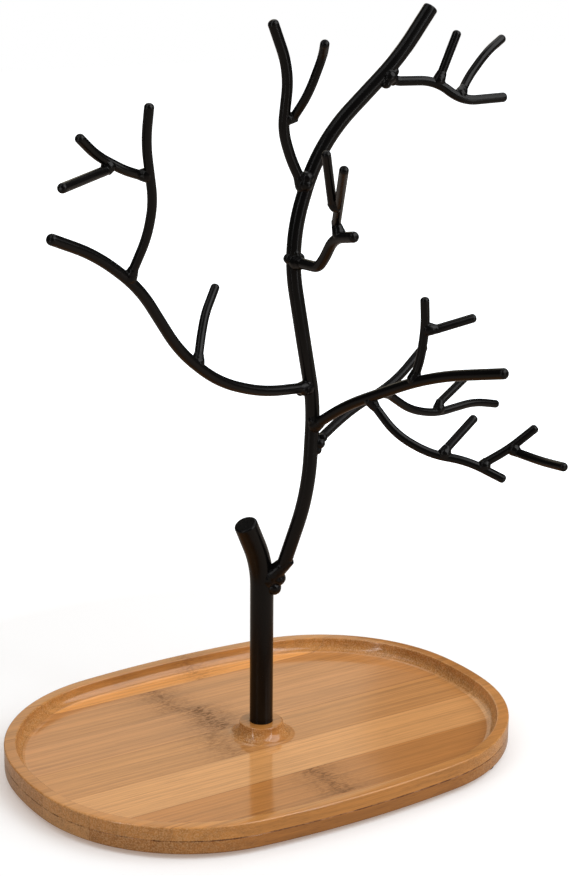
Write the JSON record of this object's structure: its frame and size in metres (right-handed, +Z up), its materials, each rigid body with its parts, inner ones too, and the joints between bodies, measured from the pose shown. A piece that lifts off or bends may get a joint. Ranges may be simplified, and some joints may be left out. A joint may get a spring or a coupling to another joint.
{
  "type": "jewellery tree on an oval tray",
  "caption": "Bare-branch tree of bent and welded black steel rod for hanging jewellery, screwed to a shallow oval bamboo tray on rubber feet.",
  "frame": {"origin": "middle of the whole stand's outline seen from above, on the surface it stands on", "axes": "+Z up, X along the tray's length, -Y to the front"},
  "size_m": [0.2532, 0.2054, 0.327],
  "materials": {
    "black_powder_coat": "satin black powder coat over steel rod",
    "bamboo": "carbonised bamboo strips, milled, clear satin lacquer",
    "foot_rubber": "moulded rubber",
    "bright_steel": "zinc-plated steel"
  },
  "bodies": {
    "root": {"trunk_post": "black_powder_coat", "main_stem": "black_powder_coat", "left_bough": "black_powder_coat", "left_riser": "black_powder_coat", "left_riser_fork": "black_powder_coat", "left_riser_tine": "black_powder_coat", "left_bough_twig": "black_powder_coat", "crown_left_bough": "black_powder_coat", "crown_left_twig": "black_powder_coat", "crown_right_bough": "black_powder_coat", "crown_right_near_twig": "black_powder_coat", "crown_right_far_twig": "black_powder_coat", "front_crook": "black_powder_coat", "front_crook_twig": "black_powder_coat", "front_crook_fork": "black_powder_coat", "right_bough": "black_powder_coat", "right_riser": "black_powder_coat", "right_riser_twig": "black_powder_coat", "low_bough": "black_powder_coat", "low_near_twig": "black_powder_coat", "low_far_twig": "black_powder_coat", "low_end_twig": "black_powder_coat", "rear_bough": "black_powder_coat", "rear_branch": "black_powder_coat", "rear_branch_twig": "black_powder_coat", "stem_welds": "black_powder_coat", "left_welds": "black_powder_coat", "crown_welds": "black_powder_coat", "front_welds": "black_powder_coat", "right_welds": "black_powder_coat", "low_welds": "black_powder_coat", "rear_welds": "black_powder_coat", "tray_base_ply": "bamboo", "tray_rim": "bamboo", "tray_boss": "bamboo", "rubber_feet": "foot_rubber", "trunk_washer": "bright_steel", "trunk_screw": "bright_steel"}
  },
  "joints": []
}
